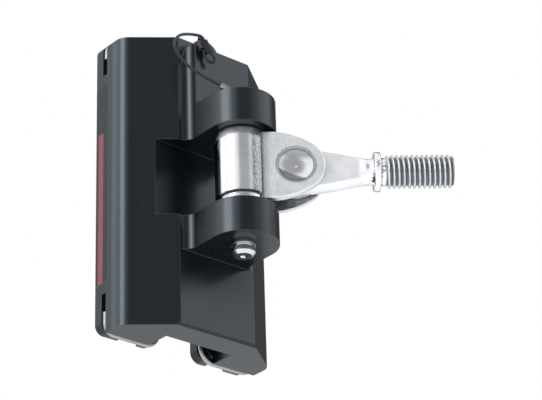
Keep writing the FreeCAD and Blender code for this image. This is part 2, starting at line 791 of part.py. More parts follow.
def make_toggle():
    body = new_body("toggle")
    half = s.cheek_half_height

    # Side view of the cheeks: two flank arcs that run into a smaller nose arc
    start = s.cheek_flank_start
    sink = s.cheek_flank_radius - half
    lead = s.cheek_reach - s.cheek_flank_radius
    nose_x = (start * start + sink * sink - lead * lead) / (2 * (start - lead))
    share = s.cheek_flank_radius / (nose_x - lead)
    join_x = start + (nose_x - start) * share
    join_z = sink * share - sink
    plate = draw(body, "cheek_outline", "XZ_Plane")
    outline(plate, [
        (0, -half), (start, -half), (join_x, -join_z), (join_x, join_z), (start, half), (0, half)],
        {1: ((start, sink), 1), 2: ((nose_x, 0), 1), 3: ((start, -sink), 1)})
    cheeks = feature(body, "Pad", "cheeks", Profile=plate, Length=2 * CHEEK_SIDE, Midplane=True)
    outer_edges = edges_where(cheeks, lambda mid, box: near(abs(mid.y), CHEEK_SIDE) and not near(mid.x, 0))
    feature(body, "Fillet", "cheek_edges", Base=(cheeks, outer_edges), Radius=s.cheek_edge_radius)

    # The cheeks stand clear of the washer under the barrel
    low = BARREL_BOTTOM - s.stud_rise
    high = BARREL_TOP - s.stud_rise
    relief = draw(body, "washer_relief_outline", "XY_Plane", low)
    ring(relief, (0, 0), s.washer_radius + s.washer_relief)
    feature(body, "Pocket", "washer_relief_cut", Profile=relief, Type="ThroughAll")

    wall = draw(body, "barrel_profile", "XZ_Plane")
    outline(wall, [
        (0, low), (s.barrel_radius - s.barrel_bottom_chamfer, low),
        (s.barrel_radius, low + s.barrel_bottom_chamfer), (s.barrel_radius, high - s.barrel_shoulder_height),
        (s.barrel_radius - s.barrel_shoulder_inset, high), (0, high)])
    feature(body, "Revolution", "barrel", Profile=wall, ReferenceAxis=(wall, ["V_Axis"]), Angle=360)

    jaw = draw(body, "jaw_outline", "XY_Plane")
    rectangle(jaw, (JAW_FLOOR, -s.jaw_gap / 2), (s.cheek_reach + s.jaw_gap, s.jaw_gap / 2))
    feature(body, "Pocket", "jaw", Profile=jaw, Type="ThroughAll", Midplane=True)

    bore = draw(body, "bore_outline", "XY_Plane")
    ring(bore, (0, 0), BORE_RADIUS)
    feature(body, "Pocket", "bore", Profile=bore, Type="ThroughAll", Midplane=True)

    hole = draw(body, "stud_pin_hole", "XZ_Plane")
    ring(hole, (s.stud_pin_reach, 0), s.stud_pin_radius + s.bush_fit)
    feature(body, "Pocket", "stud_pin_bore", Profile=hole, Type="ThroughAll", Midplane=True)
    seat = draw(body, "stud_pin_seat", "XZ_Plane", CHEEK_SIDE)
    ring(seat, (s.stud_pin_reach, 0), s.stud_pin_head_radius + s.stud_pin_fit)
    feature(body, "Pocket", "counterbore", Profile=seat,
            Length=s.stud_pin_sink + s.stud_pin_head_height)
    place(body, PIN_X, 0, s.stud_rise, s.toggle_angle)
    return body


def place_at_stud(thing):
    """Place a piece whose own origin is on the stud pin's axis."""
    place(thing, PIN_X + s.stud_pin_reach * cosine(s.toggle_angle),
          s.stud_pin_reach * sine(s.toggle_angle), s.stud_rise, s.toggle_angle)


# Stud pin: a flush pin with a shallow dished head

def make_stud_pin():
    body = new_body("stud_pin")
    front = -CHEEK_SIDE + s.stud_pin_sink
    dish = s.stud_pin_dish_radius
    depth = s.stud_pin_dish_depth
    dish_sphere = (dish * dish + depth * depth) / (2 * depth)
    profile = draw(body, "stud_pin_profile", "XY_Plane")
    outline(profile, [
        (0, front + depth), (dish, front), (s.stud_pin_head_radius, front),
        (s.stud_pin_head_radius, front + s.stud_pin_head_height),
        (s.stud_pin_radius, front + s.stud_pin_head_height),
        (s.stud_pin_radius, CHEEK_SIDE), (0, CHEEK_SIDE)],
        {0: ((0, front + depth - dish_sphere), -1)})
    feature(body, "Revolution", "stud_pin_turned", Profile=profile, ReferenceAxis=(profile, ["V_Axis"]),
            Angle=360)
    place_at_stud(body)
    return body


# Stud: a flat eye and blade, a round shank, a collar and the batten thread

def make_stud():
    body = new_body("stud")
    small = s.collar_edge_break
    profile = draw(body, "stud_profile", "XZ_Plane")
    outline(profile, [
        (0, 0), (0, EYE_RADIUS), (s.blade_shoulder_reach, s.blade_shoulder_radius),
        (s.shank_start, s.shank_radius), (s.collar_start, s.shank_radius),
        (s.collar_start, s.collar_radius - small), (s.collar_start + small, s.collar_radius),
        (COLLAR_END - small, s.collar_radius), (COLLAR_END, s.collar_radius - small),
        (COLLAR_END, s.relief_radius), (THREAD_START, s.relief_radius),
        (THREAD_START + s.thread_radius - s.relief_radius, s.thread_radius),
        (STUD_END - s.thread_chamfer, s.thread_radius),
        (STUD_END, s.thread_radius - s.thread_chamfer), (STUD_END, 0)])
    feature(body, "Revolution", "stud_turned", Profile=profile, ReferenceAxis=(profile, ["H_Axis"]),
            Angle=360)
    disc = draw(body, "eye_outline", "XZ_Plane")
    ring(disc, (0, 0), EYE_RADIUS)
    feature(body, "Pad", "eye", Profile=disc, Length=2 * BLADE_SIDE, Midplane=True)

    # Both sides of the blade are milled flat and run out into the shank on an arc
    reach = s.blade_flat_reach
    rise = EYE_RADIUS
    runout = s.blade_runout_radius
    climb = root(runout * runout - (runout - rise) * (runout - rise))
    flats = draw(body, "flats_outline", "XY_Plane")
    for side in (-1, 1):
        outline(flats, [
            (-2 * EYE_RADIUS, side * BLADE_SIDE), (reach, side * BLADE_SIDE),
            (reach + climb, side * (BLADE_SIDE + rise)), (-2 * EYE_RADIUS, side * (BLADE_SIDE + rise))],
            {1: ((reach, side * (BLADE_SIDE + runout)), side)})
    feature(body, "Pocket", "flats", Profile=flats, Length=3 * EYE_RADIUS, Midplane=True)

    hole = draw(body, "eye_hole", "XZ_Plane")
    ring(hole, (0, 0), s.stud_pin_radius + s.stud_pin_fit)
    feature(body, "Pocket", "eye_bore", Profile=hole, Type="ThroughAll", Midplane=True)
    place_at_stud(body)
    return body


# Quick pin with its sprung detent ball

def make_pivot_pin():
    body = new_body("pivot_pin")
    head_top = PIN_HEAD_BOTTOM + s.pin_head_height
    dimple = s.pin_dimple_radius
    profile = draw(body, "pin_profile", "XZ_Plane")
    outline(profile, [
        (0, head_top), (0, KNOB_BOTTOM + s.pin_dimple_depth), (dimple, KNOB_BOTTOM),
        (s.pin_radius - s.pin_knob_chamfer, KNOB_BOTTOM), (s.pin_radius, KNOB_BOTTOM + s.pin_knob_chamfer),
        (s.pin_radius, KNOB_TOP), (s.pin_groove_radius, KNOB_TOP),
        (s.pin_groove_radius, KNOB_TOP + s.pin_groove_height),
        (s.pin_radius, KNOB_TOP + s.pin_groove_height), (s.pin_radius, PIN_HEAD_BOTTOM),
        (s.pin_head_radius, PIN_HEAD_BOTTOM), (s.pin_head_radius, head_top - s.pin_head_chamfer),
        (s.pin_head_radius - s.pin_head_chamfer, head_top)])
    feature(body, "Revolution", "pin_turned", Profile=profile, ReferenceAxis=(profile, ["V_Axis"]),
            Angle=360)
    bore = draw(body, "detent_bore_outline", "YZ_Plane", -s.pin_radius)
    ring(bore, (0, DETENT_Z), DETENT_BORE)
    feature(body, "Pocket", "detent_bore", Profile=bore, Reversed=True,
            Length=s.pin_radius + DETENT_X + s.detent_radius + s.spring_length)
    place(body, PIN_X, 0, 0)
    return body


def make_detent():
    ball = doc.addObject("Part::Sphere", "detent_ball")
    ball.Label = "detent_ball"
    bind(ball, "Radius", s.detent_radius)
    place(ball, PIN_X + DETENT_X, 0, DETENT_Z)

    wire = s.spring_wire_radius.value
    coil = s.detent_radius.value - wire
    length = s.spring_length.value - 2 * wire
    steps = int(s.spring_turns.value * s.spring_steps.value)
    turn = 2 * math.pi / s.spring_steps.value
    points = [(coil * math.cos(step * turn), coil * math.sin(step * turn), length * step / steps)
              for step in range(steps + 1)]
    spring = make_wire("detent_spring", points, wire)[0]
    start = PIN_X.value + DETENT_X.value + s.detent_radius.value + wire
    spring.Placement = Placement(Vector(start, 0, DETENT_Z.value), Rotation(Vector(0, 1, 0), 90))
    return [ball, spring]


# Lanyard: a coated wire from the tab to an eye under the head of the pin

ROUTE = [
    (28.82, -9.20, 44.60), (28.82, -9.84, 45.50), (27.90, -9.60, 47.00), (26.30, -8.50, 47.50),
    (25.20, -7.65, 46.80), (25.20, -7.50, 45.00), (25.20, -7.65, 42.70), (27.75, -7.90, 42.60),
    (27.90, -7.70, 40.40), (28.60, -7.10, 38.70), (29.35, -5.75, 38.10), (29.80, -5.05, 39.50),
    (29.78, -6.34, 40.60), (29.78, -9.95, 45.66), (29.85, -12.0, 45.40), (29.90, -15.20, 44.60),
    (30.10, -19.30, 42.80), (30.40, -21.70, 38.90), (30.80, -20.40, 35.00), (31.50, -17.00, 32.00),
    (32.60, -13.90, 30.10), (34.68, -11.34, 27.85), (36.72, -8.77, 25.88),
]
# The two points of the strand that leaves the coil through the sleeve
STRAND = [Vector(*point) for point in ROUTE[12:14]]


def make_lanyard():
    diameter = s.lanyard_diameter.value
    lanyard, length, radii = make_wire("lanyard", ROUTE, diameter / 2)
    print("lanyard radii", [round(radius, 2) for radius in radii])
    print("lanyard length", round(length, 2), "volume", round(lanyard.Shape.Volume, 3),
          "section x length", round(math.pi * diameter ** 2 / 4 * length, 3))
    return lanyard


def make_sleeve():
    """Sleeve round the start of the wire and the strand beside it."""
    turn = Rotation(Vector(1, 0, 0), Vector(0, 1, 0), STRAND[0] - STRAND[1], "ZXY")
    solid = cylinder("sleeve_outside", s.sleeve_radius, s.sleeve_length)
    bore = cylinder("sleeve_inside", s.lanyard_diameter / 2 + s.lanyard_fit, s.sleeve_length)
    place(bore, s.strand_offset)
    sleeve = cut("lanyard_sleeve", solid, bore)
    sleeve.Placement = Placement(Vector(*ROUTE[0]) + Vector(s.strand_offset.value, 0, 0), turn)
    return sleeve


def make_eye():
    """Ring round the pin under its head, with a lug and a crimp barrel bent back and up for the wire."""
    start = s.crimp_start
    lug_start = (s.eye_inner_radius + s.eye_outer_radius) / 2
    plate = cylinder("eye_plate", s.eye_outer_radius, s.eye_thickness)
    lug = box("eye_lug", (start + s.crimp_radius / 2 - lug_start, s.eye_lug_width, s.eye_thickness),
              (lug_start, -s.eye_lug_width / 2, 0))
    crimp = cylinder("eye_crimp", s.crimp_radius, s.crimp_length)
    upright = Rotation(Vector(0, 1, 0), 90 - s.crimp_tilt.value)
    crimp.Placement = Placement(Vector(start.value, 0, s.eye_thickness.value / 2),
                                Rotation(Vector(0, 0, 1), s.crimp_turn.value) * upright)
    floor = box("eye_floor", (2 * start, 2 * start, start), (0, -start, -start))
    joined = doc.addObject("Part::MultiFuse", "eye_joined")
    joined.Shapes = [plate, lug, crimp]
    level = cut("eye_level", joined, floor)
    hole = cylinder("eye_hole_tool", s.eye_inner_radius, s.eye_thickness)
    eye = cut("lanyard_eye", level, hole)
    place(eye, PIN_X, 0, EAR_TOP + s.pin_head_gap, s.eye_angle)
    return eye


# All pieces

pieces = [make_car_body()]
for hand, side in (("left", -1), ("right", 1)):
    for level, end in (("upper", 1), ("lower", -1)):
        pieces.append(make_end_cap(f"{hand}_{level}_end_cap", side, end))
    pieces.append(make_guide_wire(f"{hand}_guide_wire", side))
    pieces.append(make_balls(f"{hand}_balls", side))
    pieces += make_side_label(hand, side)
pieces.append(make_toggle())
pieces.append(make_tube("upper_bush", BORE_RADIUS - s.bush_fit, PIN_HOLE, s.bush_length,
                        BARREL_TOP - s.bush_length))
pieces.append(make_tube("lower_bush", BORE_RADIUS - s.bush_fit, PIN_HOLE, s.bush_length, BARREL_BOTTOM))
pieces.append(make_tube("upper_thrust_washer", s.washer_radius, PIN_HOLE, s.upper_washer_thickness,
                        POCKET_TOP - s.upper_washer_thickness))
pieces.append(make_tube("lower_thrust_washer", s.washer_radius, PIN_HOLE, s.lower_washer_thickness,
                        SPACER_TOP))
pieces.append(make_tube("lower_spacer", s.washer_radius, PIN_HOLE, s.lower_spacer_thickness, -POCKET_TOP))
pieces.append(make_pivot_pin())
pieces += make_detent()
pieces.append(make_stud_pin())
pieces.append(make_stud())
pieces.append(make_lanyard())
pieces.append(make_sleeve())
pieces.append(make_eye())
doc.recompute()

for item in doc.Objects:
    if "Invalid" in item.State or "Error" in item.State:
        raise RuntimeError(f"{item.Label} failed: {item.State}")
for piece in pieces:
    if piece.Shape.isNull() or not piece.Shape.isValid():
        raise RuntimeError(f"{piece.Label} has no valid shape")

os.makedirs("parts", exist_ok=True)
for piece in pieces:
    piece.Shape.exportStep(f"parts/{piece.Label}.step")
    print(piece.Label, len(piece.Shape.Solids), round(piece.Shape.Volume, 2))
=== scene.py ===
import json
import math

import bmesh
import bpy
from mathutils import Matrix, Vector


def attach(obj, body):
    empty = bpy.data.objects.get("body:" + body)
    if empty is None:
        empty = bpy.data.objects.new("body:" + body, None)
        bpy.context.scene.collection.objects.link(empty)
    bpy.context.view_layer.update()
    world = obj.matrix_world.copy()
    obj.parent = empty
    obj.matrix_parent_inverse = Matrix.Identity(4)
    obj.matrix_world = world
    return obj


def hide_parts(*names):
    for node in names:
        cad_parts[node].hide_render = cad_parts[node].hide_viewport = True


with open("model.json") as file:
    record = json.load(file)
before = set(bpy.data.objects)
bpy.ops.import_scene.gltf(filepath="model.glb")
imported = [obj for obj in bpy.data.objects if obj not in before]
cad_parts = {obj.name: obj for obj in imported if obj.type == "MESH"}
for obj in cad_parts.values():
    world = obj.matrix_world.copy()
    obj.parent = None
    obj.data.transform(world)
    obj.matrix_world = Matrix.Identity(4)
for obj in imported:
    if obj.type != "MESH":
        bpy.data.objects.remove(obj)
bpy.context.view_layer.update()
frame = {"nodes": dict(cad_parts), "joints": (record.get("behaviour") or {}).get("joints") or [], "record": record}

MM = 0.001
FULL_TURN = 2 * math.pi
UPRIGHT = Vector((0, 0, 1))


# Places and slots taken from the frame

NODES = frame["nodes"]
JOINTS = {joint["name"]: joint for joint in frame["joints"]}
SLOTS = {part["node"]: part["material_slot"] for part in frame["record"]["subparts"]}
PIVOT = Vector(JOINTS["toggle_swivel"]["pos_m"])
STUD_ORIGIN = Vector(JOINTS["stud_pitch"]["pos_m"])
STUD_SIDE = Vector(JOINTS["stud_pitch"]["axis"])
STUD_AXIS = STUD_SIDE.cross(UPRIGHT)
STRIPE_ENDS = [edge(corner[2] for corner in NODES["left_red_stripe"].bound_box) for edge in (min, max)]


# Screw thread of the stud: its radii, and its places along the stud from the stud pin

THREAD_PITCH = 1.5 * MM
THREAD_CREST = 4.95 * MM
THREAD_ROOT = 4.06 * MM
THREAD_START = 26.4 * MM
THREAD_END = 46.6 * MM
END_RADIUS = 4.15 * MM

# Where a flank starts and ends, as shares of the pitch from the middle of the crest
FLANK_TOP = 0.07
FLANK_FOOT = 0.43

ROWS_PER_TURN = 18
SHARP_ANGLE = 32
SLACK = 0.01 * MM
WELD_DISTANCE = 0.001 * MM


# Camera: its place, its directions and its lens, solved from the photo

VIEW_POINT = Vector((0.4692, -0.3662, -0.2954))
VIEW_RIGHT = Vector((0.6445, 0.7641, -0.0284))
VIEW_BACK = Vector((0.6742, -0.5854, -0.4502))
SENSOR_WIDTH = 36.0
FOCAL_LENGTH = 144.75
NEAR_CLIP = 0.01
FAR_CLIP = 20.0


def direction(azimuth, elevation=0):
    """Unit vector towards an azimuth and an elevation in degrees."""
    level = math.cos(math.radians(elevation))
    return (level * math.cos(math.radians(azimuth)), level * math.sin(math.radians(azimuth)),
            math.sin(math.radians(elevation)))


def add_object(name, data):
    """Put a new object into the scene."""
    thing = bpy.data.objects.new(name, data)
    bpy.context.scene.collection.objects.link(thing)
    return thing


def make_camera():
    """Camera whose right and upward directions are made square to its own axis."""
    back = VIEW_BACK.normalized()
    right = (VIEW_RIGHT - back * VIEW_RIGHT.dot(back)).normalized()
    up = back.cross(right)
    data = bpy.data.cameras.new("camera")
    data.sensor_width = SENSOR_WIDTH
    data.lens = FOCAL_LENGTH
    data.clip_start = NEAR_CLIP
    data.clip_end = FAR_CLIP
    camera = add_object("camera", data)
    camera.matrix_world = Matrix.Translation(VIEW_POINT) @ Matrix((right, up, back)).transposed().to_4x4()
    bpy.context.scene.camera = camera


make_camera()


# Node helpers

NOISE_START = 0.3
NOISE_END = 0.7
NOISE_ROUGHNESS = 0.55
BEVEL_SAMPLES = 6

# Cosines between two directions at which a share is 0 and 1
EDGE_TURN = (0.995, 0.9)
CORNER_FACING = (0.92, 0.985)


def feed(tree, socket, value):
    """Link a value that comes from a node, and write down any other."""
    if isinstance(value, bpy.types.NodeSocket):
        tree.links.new(value, socket)
    else:
        socket.default_value = value


def add_node(tree, kind, settings, inputs):
    """Add a shader node, with its settings and with values or links for its inputs."""
    new = tree.nodes.new(f"ShaderNode{kind}")
    for name, setting in (settings or {}).items():
        setattr(new, name, setting)
    for name, value in inputs.items():
        feed(tree, new.inputs[name if isinstance(name, int) else name.replace("_", " ")], value)
    return new


class Look:
    """A material under construction: its nodes, its links and its shader."""

    def __init__(self, name, color, metallic, roughness):
        self.material = bpy.data.materials.new(name)
        self.material.use_nodes = True
        self.tree = self.material.node_tree
        self.shader = self.tree.nodes["Principled BSDF"]
        self.set("Base Color", (*color, 1))
        self.set("Metallic", metallic)
        self.set("Roughness", roughness)

    def set(self, name, value):
        """Give an input of the shader a value or a link."""
        feed(self.tree, self.shader.inputs[name], value)

    def node(self, kind, settings=None, **inputs):
        """Add a node whose inputs go by name."""
        return add_node(self.tree, kind, settings, inputs)

    def number(self, operation, *values):
        """Result of a math node on one or two numbers."""
        return add_node(self.tree, "Math", {"operation": operation}, dict(enumerate(values))).outputs["Value"]

    def times(self, one, other):
        """Product of two numbers."""
        return self.number("MULTIPLY", one, other)

    def vector(self, operation, *values):
        """Result of a vector node: a number for a length or a dot product, and otherwise a vector."""
        new = add_node(self.tree, "VectorMath", {"operation": operation}, dict(enumerate(values)))
        return new.outputs["Value" if operation in ("DOT_PRODUCT", "LENGTH") else "Vector"]

    def spot(self):
        """Place on the piece, in metres."""
        return self.node("TexCoord").outputs["Object"]

    def spot_parts(self):
        """Place on the piece as three numbers, by axis."""
        return self.node("SeparateXYZ", Vector=self.spot()).outputs

    def noise(self, scale, detail=3.0):
        """Noise whose features are as many per metre as the scale says, along all axes or each."""
        stretch = scale if isinstance(scale, tuple) else (scale, scale, scale)
        place = self.node("Mapping", Vector=self.spot(), Scale=stretch).outputs["Vector"]
        return self.node("TexNoise", Vector=place, Scale=1.0, Detail=detail,
                         Roughness=NOISE_ROUGHNESS).outputs["Fac"]

    def spread(self, value, low, high, start=NOISE_START, end=NOISE_END):
        """Map a value from a range, which is a noise's usual one unless given, to another."""
        return self.node("MapRange", Value=value, From_Min=start, From_Max=end, To_Min=low,
                         To_Max=high).outputs["Result"]

    def band(self, value, rise, fall):
        """Share that grows to 1 over one stretch and falls back over another."""
        return self.times(self.spread(value, 0, 1, *rise), self.spread(value, 1, 0, *fall))

    def mix(self, share, low, high):
        """Mix two numbers."""
        return add_node(self.tree, "Mix", {"data_type": "FLOAT"}, {0: share, 2: low, 3: high}).outputs[0]

    def blend(self, share, low, high):
        """Mix two colours, each written down or linked."""
        new = add_node(self.tree, "Mix", {"data_type": "RGBA"}, {0: share})
        sockets = [socket for socket in new.inputs if socket.type == "RGBA"]
        for socket, color in zip(sockets, (low, high)):
            feed(self.tree, socket, (*color, 1) if isinstance(color, tuple) else color)
        return next(socket for socket in new.outputs if socket.type == "RGBA")

    def rounded(self, radius):
        """Normal of the surface as if its sharp edges were rounded."""
        return self.node("Bevel", {"samples": BEVEL_SAMPLES}, Radius=radius).outputs["Normal"]

    def edges(self, radius):
        """Share that grows to 1 on a sharp edge and its rim."""
        plain = self.node("NewGeometry").outputs["Normal"]
        return self.spread(self.vector("DOT_PRODUCT", self.rounded(radius), plain), 0, 1, *EDGE_TURN)

    def around(self, center, axis):
        """Distance along an axis and distance from it."""
        offset = self.vector("SUBTRACT", self.spot(), center)
        along = self.vector("DOT_PRODUCT", offset, axis)
        return along, self.vector("LENGTH", self.vector("CROSS_PRODUCT", offset, axis))

    def upright_corner(self, azimuth):
        """Share that is 1 where the surface faces an azimuth, mirrored over the car's middle planes."""
        normal = self.vector("ABSOLUTE", self.node("TexCoord").outputs["Normal"])
        facing = self.vector("DOT_PRODUCT", normal, direction(azimuth))
        return self.spread(facing, 0, 1, *CORNER_FACING)

    def bump(self, height, strength, depth, edge=0.0):
        """Relief from a height, over a rounded look of the sharp edges."""
        relief = self.node("Bump", Height=height, Strength=strength, Distance=depth)
        if edge:
            feed(self.tree, relief.inputs["Normal"], self.rounded(edge))
        self.set("Normal", relief.outputs["Normal"])


# Black materials, with places on the car and its films

COOL_TINT = (0.8, 0.91, 1.0, 1)
ANODISED_TINT = (0.77, 0.895, 1.0, 1)
ANODISED_IOR = 1.48
# Width of the pale colour on sharp edges, a painted highlight
EDGE_HIGHLIGHT = 0.28 * MM
SIDE_WALL = (26.6 * MM, 27.2 * MM)
# Band along the side walls, and facing of the upright corners, that get a raised reflectance as a painted sheen
SHEEN_RISE = (7.4 * MM, 8.4 * MM)
SHEEN_FALL = (11.8 * MM, 12.6 * MM)
SHEEN_CORNER_AZIMUTH = 64
STRIPE_RISE = (1.0 * MM, 1.3 * MM)
STRIPE_FALL = (3.3 * MM, 3.7 * MM)
STRIPE_FADE = 0.1 * MM


def black_anodised():
    """Streaked along the track, with a pale painted highlight on its sharp edges and a raised reflectance as a
    painted sheen on a band of the side walls and the upright corners.
    """
    look = Look("black_anodised", (0.006, 0.0075, 0.0095), 0.0, 0.27)
    streaks = look.noise((900, 900, 14), 4.0)
    cloud = look.noise((60, 60, 30), 2.0)
    grain = look.noise(2600, 2.0)
    skin = look.blend(look.spread(cloud, 0, 1), (0.0052, 0.0072, 0.009), (0.007, 0.0095, 0.0115))
    # Pale colour on the sharp edges is a painted highlight
    look.set("Base Color", look.blend(look.edges(EDGE_HIGHLIGHT), skin, (0.07, 0.08, 0.088)))
    look.set("Roughness", look.spread(streaks, 0.22, 0.28))
    look.set("IOR", ANODISED_IOR)
    spot = look.spot_parts()
    # Raised reflectance on a band of the side walls and on the upright corners: a painted sheen
    side = look.spread(look.number("ABSOLUTE", spot["Y"]), 0, 1, *SIDE_WALL)
    strip = look.times(look.band(spot["X"], SHEEN_RISE, SHEEN_FALL), side)
    painted_sheen = look.number("MAXIMUM", strip, look.upright_corner(SHEEN_CORNER_AZIMUTH))
    look.set("Specular IOR Level", look.spread(painted_sheen, 0.5, 1.0, 0, 1))
    look.set("Specular Tint", ANODISED_TINT)
    look.bump(look.number("ADD", streaks, grain), 0.06, 0.04 * MM, 0.3 * MM)
    return look.material


def black_plastic(name, color, roughness):
    """Moulded plastic with a fine grain."""
    look = Look(name, color, 0.0, roughness)
    grain = look.noise(1500)
    cloud = look.noise(120, 2.0)
    lighter = tuple(1.5 * channel for channel in color)
    look.set("Base Color", look.blend(look.spread(cloud, 0, 1), color, lighter))
    look.set("Roughness", look.spread(grain, roughness - 0.06, roughness + 0.08))
    look.set("Specular IOR Level", 0.36)
    look.set("Specular Tint", COOL_TINT)
    look.bump(grain, 0.2, 0.04 * MM, 0.2 * MM)
    return look.material


def side_film(name, roughness):
    """Dark printed film with a muted red stripe along the upright edge nearer the mast."""
    look = Look(name, (0.014, 0.016, 0.018), 0.0, roughness)
    cloud = look.noise((40, 40, 90))
    grain = look.noise(3000, 2.0)
    film = look.blend(look.spread(cloud, 0, 1), (0.011, 0.0125, 0.0145), (0.016, 0.018, 0.021))
    red = look.blend(look.spread(cloud, 0, 1), (0.25, 0.056, 0.078), (0.29, 0.068, 0.095))
    spot = look.spot_parts()
    bottom, top = STRIPE_ENDS
    stripe = look.band(spot["X"], STRIPE_RISE, STRIPE_FALL)
    ends = look.band(spot["Z"], (bottom - STRIPE_FADE, bottom), (top, top + STRIPE_FADE))
    look.set("Base Color", look.blend(look.times(stripe, ends), film, red))
    look.set("Roughness", look.spread(grain, roughness - 0.05, roughness + 0.1))
    look.set("Specular IOR Level", 0.3)
    look.set("Specular Tint", COOL_TINT)
    look.bump(grain, 0.1, 0.02 * MM)
    return look.material


# Steels, with places on the toggle measured from its pivot and on the stud pin from the pin's axis

# Dark colour on sharp edges of the toggle and the stud pin: painted shade
PAINTED_RIM_SHADE = (0.2, 0.205, 0.215)
RIM_WIDTH = 0.2 * MM
TOGGLE_RIM_WIDTH = 0.22 * MM
SPECKLE = (0.35, 0.62)
BARREL_EDGE = (8.1 * MM, 8.6 * MM)
BARREL_SHOULDER = (9.0 * MM, 9.3 * MM)
# Where the barrel meets the web and the cheeks, which get painted shade
WEB_AZIMUTH = 8
WEB_START = (6.8 * MM, 7.4 * MM)
CHEEK_ROOT = (7.9 * MM, 8.2 * MM)
CHEEK_ROOT_FADE = (5.6 * MM, 8.5 * MM)
CAST_START = (8.0 * MM, 9.0 * MM)
# Faces between the cheeks, which get painted shade
JAW_WALL = (3.4 * MM, 3.55 * MM)
# Dish of the pin's head, and its painted shade low and high
DISH_EDGE = (5.1 * MM, 5.5 * MM)
DISH_LOW_SHADE = (2.6 * MM, 3.4 * MM)
DISH_HIGH_SHADE = (2.0 * MM, 3.4 * MM)
SHANK_START = (19.2 * MM, 20.8 * MM)


class Steel(Look):
    """Stainless steel with fine marks that lie along one direction, or a cast skin."""

    def __init__(self, name, color, roughness, spread, stretch, relief):
        super().__init__(name, color, 1.0, roughness)
        self.marks = self.noise(stretch, 4.0)
        darker = tuple(0.86 * channel for channel in color)
        self.skin = self.blend(self.spread(self.noise(150), 0, 1), darker, color)
        self.set("Base Color", self.skin)
        self.set("Roughness", self.spread(self.marks, roughness - spread, roughness + spread))
        self.bump(self.marks, relief, 0.05 * MM, 0.2 * MM)


def toggle_steel():
    """A turned barrel with a duller shoulder, and cast cheeks; painted shade darkens the speckled cast skin where
    the barrel meets the web and the cheeks, the faces between the cheeks, and the sharp edges.
    """
    look = Steel("toggle_steel", (0.88, 0.89, 0.905), 0.2, 0.07, 1400, 0.25)
    height, radius = look.around(PIVOT, UPRIGHT)
    along = look.around(PIVOT, STUD_AXIS)[0]
    across = look.number("ABSOLUTE", look.around(PIVOT, STUD_SIDE)[0])
    turned = look.spread(radius, 1, 0, *BARREL_EDGE)
    # Painted shade over the speckled cast where the barrel meets the web and where the cheeks start
    web = look.times(look.spread(look.around(PIVOT, direction(WEB_AZIMUTH))[0], 0, 1, *WEB_START), turned)
    root = look.times(look.spread(radius, 0, 1, *CHEEK_ROOT), look.spread(along, 0.75, 0, *CHEEK_ROOT_FADE))
    grain = look.noise(2300)
    cast_share = look.times(look.spread(grain, 0, 0.8, 0.55, 0.75), look.spread(radius, 0, 1, *CAST_START))
    cast = look.blend(cast_share, look.skin, (0.42, 0.43, 0.45))
    speckle = look.spread(grain, 0.62, 1.0, *SPECKLE)
    # Painted shade colour, speckled like the cast, for the web and the start of the cheeks
    dark = look.blend(look.times(look.number("MAXIMUM", web, root), speckle), cast, (0.13, 0.138, 0.15))
    # Painted shade, speckled like the cast, on the faces between the cheeks
    jaw = look.times(look.spread(across, 1, 0, *JAW_WALL), look.spread(grain, 0.6, 1.0, *SPECKLE))
    painted_jaw_shade = look.blend(jaw, dark, (0.12, 0.125, 0.135))
    # Dark colour on the sharp edges: painted shade
    look.set("Base Color", look.blend(look.edges(TOGGLE_RIM_WIDTH), painted_jaw_shade, PAINTED_RIM_SHADE))
    polished = look.times(turned, look.spread(height, 1, 0, *BARREL_SHOULDER))
    cast_roughness = look.spread(look.marks, 0.42, 0.56)
    turned_roughness = look.spread(look.marks, 0.1, 0.2)
    look.set("Roughness", look.mix(polished, cast_roughness, turned_roughness))
    return look.material


def pin_steel():
    """Mirror steel with painted shade on its rim, and a painted dark shade low and high in the dish of its head.
    """
    look = Steel("pin_steel", (0.90, 0.905, 0.915), 0.09, 0.03, 700, 0.05)
    radius = look.around(STUD_ORIGIN, STUD_SIDE)[1]
    # Painted shade low and high in the dish
    low = look.around(STUD_ORIGIN, -0.4 * STUD_AXIS - 0.917 * UPRIGHT)[0]
    high = look.around(STUD_ORIGIN, 0.1 * STUD_AXIS + 0.995 * UPRIGHT)[0]
    shade = look.number("MAXIMUM", look.spread(low, 0, 1, *DISH_LOW_SHADE),
                        look.spread(high, 0, 0.7, *DISH_HIGH_SHADE))
    in_dish = look.spread(radius, 1, 0, *DISH_EDGE)
    dish = look.blend(look.times(shade, in_dish), look.skin, (0.22, 0.23, 0.245))
    # Dark colour on the rim: painted shade
    look.set("Base Color", look.blend(look.edges(RIM_WIDTH), dish, PAINTED_RIM_SHADE))
    return look.material


def thread_steel():
    """A dull blade, a bright shank, and a thread whose roots are darkened by painted shade."""
    look = Steel("thread_steel", (0.96, 0.965, 0.975), 0.24, 0.06, 700, 0.05)
    along, radius = look.around(STUD_ORIGIN, STUD_AXIS)
    threaded = look.spread(along, 0, 1, THREAD_START, THREAD_START + 0.4 * MM)
    crest = look.blend(threaded, look.skin, (0.72, 0.73, 0.75))
    # Dark colour in the thread's roots: painted shade
    root = look.times(look.spread(along, 0, 1, THREAD_START - 0.2 * MM, THREAD_START + 0.4 * MM),
                      look.spread(radius, 1, 0, THREAD_ROOT, THREAD_CREST - 0.2 * MM))
    look.set("Base Color", look.blend(root, crest, (0.17, 0.175, 0.185)))
    look.set("Roughness", look.spread(along, 0.5, 0.2, *SHANK_START))
    return look.material


def plain_steel(*settings):
    """Steel with no places of its own."""
    return Steel(*settings).material


